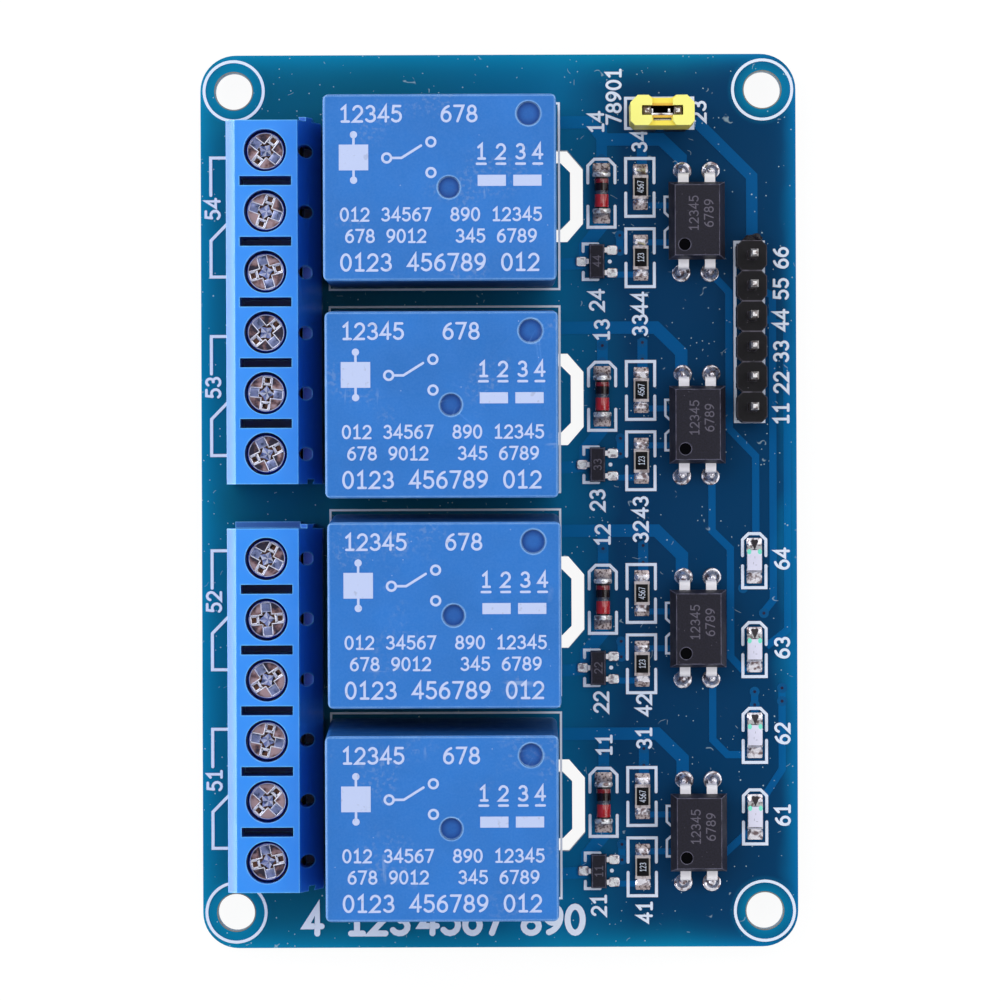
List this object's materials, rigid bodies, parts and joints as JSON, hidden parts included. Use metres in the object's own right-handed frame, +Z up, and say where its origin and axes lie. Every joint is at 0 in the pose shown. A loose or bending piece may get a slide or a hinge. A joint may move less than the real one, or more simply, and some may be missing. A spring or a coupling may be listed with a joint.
{
  "type": "relay module board",
  "caption": "Relay module: a slotted circuit board with sealed relays, screw terminal blocks, a control pin header, a jumper and small drive parts.",
  "frame": {"origin": "centre of the four mounting holes, on the underside of the board", "axes": "+X from the screw terminals to the control header, +Y along the row of relays, +Z up from the component side"},
  "size_m": [0.05, 0.075, 0.02],
  "materials": {
    "board": "glossy solder mask over glass-fibre laminate",
    "solder": "bright tin solder",
    "terminal_plastic": "moulded, slightly glossy",
    "brass": "plated brass strip",
    "spring_steel": "plated",
    "screw_steel": "nickel plated",
    "relay_plastic": "moulded, satin",
    "relay_base_plastic": "sealing base",
    "relay_steel": "plated mild steel",
    "bobbin_plastic": "moulded",
    "copper": "enamelled copper wire",
    "tinned_metal": "bright tin",
    "header_plastic": "moulded",
    "pin_metal": "plated brass",
    "jumper_plastic": "moulded",
    "moulding": "moulded epoxy",
    "diode_glass": "glass with a painted band",
    "resistor_film": "glazed film on ceramic",
    "light_resin": "milky resin"
  },
  "bodies": {
    "board": {"circuit_board": "board", "solder_joints": "solder", "terminal_housing_lower": "terminal_plastic", "terminal_housing_upper": "terminal_plastic", "terminal_brackets": "brass", "wire_guards": "spring_steel", "relay_case_1": "relay_plastic", "relay_case_2": "relay_plastic", "relay_case_3": "relay_plastic", "relay_case_4": "relay_plastic", "relay_base_1": "relay_base_plastic", "relay_base_2": "relay_base_plastic", "relay_base_3": "relay_base_plastic", "relay_base_4": "relay_base_plastic", "relay_yokes": "relay_steel", "relay_bobbins": "bobbin_plastic", "relay_windings": "copper", "relay_contacts": "brass", "relay_coil_pins": "tinned_metal", "header_strip": "header_plastic", "header_pins": "pin_metal", "jumper_strip": "header_plastic", "jumper_pins": "pin_metal", "optocoupler_1": "moulding", "optocoupler_2": "moulding", "optocoupler_3": "moulding", "optocoupler_4": "moulding", "optocoupler_leads": "tinned_metal", "transistor_1": "moulding", "transistor_2": "moulding", "transistor_3": "moulding", "transistor_4": "moulding", "transistor_leads": "tinned_metal", "diode_glasses": "diode_glass", "diode_ends": "tinned_metal", "resistor_bodies": "resistor_film", "resistor_ends": "tinned_metal", "light_bodies": "light_resin", "light_ends": "tinned_metal"},
    "screw_01": {"terminal_screw_01": "screw_steel"},
    "screw_02": {"terminal_screw_02": "screw_steel"},
    "screw_03": {"terminal_screw_03": "screw_steel"},
    "screw_04": {"terminal_screw_04": "screw_steel"},
    "screw_05": {"terminal_screw_05": "screw_steel"},
    "screw_06": {"terminal_screw_06": "screw_steel"},
    "screw_07": {"terminal_screw_07": "screw_steel"},
    "screw_08": {"terminal_screw_08": "screw_steel"},
    "screw_09": {"terminal_screw_09": "screw_steel"},
    "screw_10": {"terminal_screw_10": "screw_steel"},
    "screw_11": {"terminal_screw_11": "screw_steel"},
    "screw_12": {"terminal_screw_12": "screw_steel"},
    "armature_1": {"relay_armature_1": "relay_steel"},
    "armature_2": {"relay_armature_2": "relay_steel"},
    "armature_3": {"relay_armature_3": "relay_steel"},
    "armature_4": {"relay_armature_4": "relay_steel"},
    "jumper": {"jumper_cap": "jumper_plastic", "jumper_clip": "tinned_metal"}
  },
  "joints": [
    {"name": "screw_01_turn", "type": "hinge", "parent": "board", "child": "screw_01", "pos_m": [-0.0192, -0.0297, 0.0016], "axis": [0, 0, 1], "range_deg": [-1710, 0]},
    {"name": "screw_02_turn", "type": "hinge", "parent": "board", "child": "screw_02", "pos_m": [-0.0192, -0.0247, 0.0016], "axis": [0, 0, 1], "range_deg": [-1710, 0]},
    {"name": "screw_03_turn", "type": "hinge", "parent": "board", "child": "screw_03", "pos_m": [-0.0192, -0.0197, 0.0016], "axis": [0, 0, 1], "range_deg": [-1710, 0]},
    {"name": "screw_04_turn", "type": "hinge", "parent": "board", "child": "screw_04", "pos_m": [-0.0192, -0.0147, 0.0016], "axis": [0, 0, 1], "range_deg": [-1710, 0]},
    {"name": "screw_05_turn", "type": "hinge", "parent": "board", "child": "screw_05", "pos_m": [-0.0192, -0.0097, 0.0016], "axis": [0, 0, 1], "range_deg": [-1710, 0]},
    {"name": "screw_06_turn", "type": "hinge", "parent": "board", "child": "screw_06", "pos_m": [-0.0192, -0.0047, 0.0016], "axis": [0, 0, 1], "range_deg": [-1710, 0]},
    {"name": "screw_07_turn", "type": "hinge", "parent": "board", "child": "screw_07", "pos_m": [-0.0192, 0.00395, 0.0016], "axis": [0, 0, 1], "range_deg": [-1710, 0]},
    {"name": "screw_08_turn", "type": "hinge", "parent": "board", "child": "screw_08", "pos_m": [-0.0192, 0.00895, 0.0016], "axis": [0, 0, 1], "range_deg": [-1710, 0]},
    {"name": "screw_09_turn", "type": "hinge", "parent": "board", "child": "screw_09", "pos_m": [-0.0192, 0.01395, 0.0016], "axis": [0, 0, 1], "range_deg": [-1710, 0]},
    {"name": "screw_10_turn", "type": "hinge", "parent": "board", "child": "screw_10", "pos_m": [-0.0192, 0.01895, 0.0016], "axis": [0, 0, 1], "range_deg": [-1710, 0]},
    {"name": "screw_11_turn", "type": "hinge", "parent": "board", "child": "screw_11", "pos_m": [-0.0192, 0.02395, 0.0016], "axis": [0, 0, 1], "range_deg": [-1710, 0]},
    {"name": "screw_12_turn", "type": "hinge", "parent": "board", "child": "screw_12", "pos_m": [-0.0192, 0.02895, 0.0016], "axis": [0, 0, 1], "range_deg": [-1710, 0]},
    {"name": "armature_1_tip", "type": "hinge", "parent": "board", "child": "armature_1", "pos_m": [0.00236, -0.02643, 0.01356], "axis": [0, -0.9982, -0.0593], "range_deg": [0, 4], "stiffness_Nm_per_rad": 0.02, "springref_deg": -5.73},
    {"name": "armature_2_tip", "type": "hinge", "parent": "board", "child": "armature_2", "pos_m": [0.0026, -0.00913, 0.01343], "axis": [0, -0.9991, -0.0419], "range_deg": [0, 4], "stiffness_Nm_per_rad": 0.02, "springref_deg": -5.73},
    {"name": "armature_3_tip", "type": "hinge", "parent": "board", "child": "armature_3", "pos_m": [0.00244, 0.00801, 0.01341], "axis": [0, -0.9992, -0.0393], "range_deg": [0, 4], "stiffness_Nm_per_rad": 0.02, "springref_deg": -5.73},
    {"name": "armature_4_tip", "type": "hinge", "parent": "board", "child": "armature_4", "pos_m": [0.00233, 0.02556, 0.01312], "axis": [0, -1, 0], "range_deg": [0, 4], "stiffness_Nm_per_rad": 0.02, "springref_deg": -5.73},
    {"name": "jumper_pull", "type": "slide", "parent": "board", "child": "jumper", "axis": [0, 0, 1], "range_m": [0, 0.0065]}
  ]
}
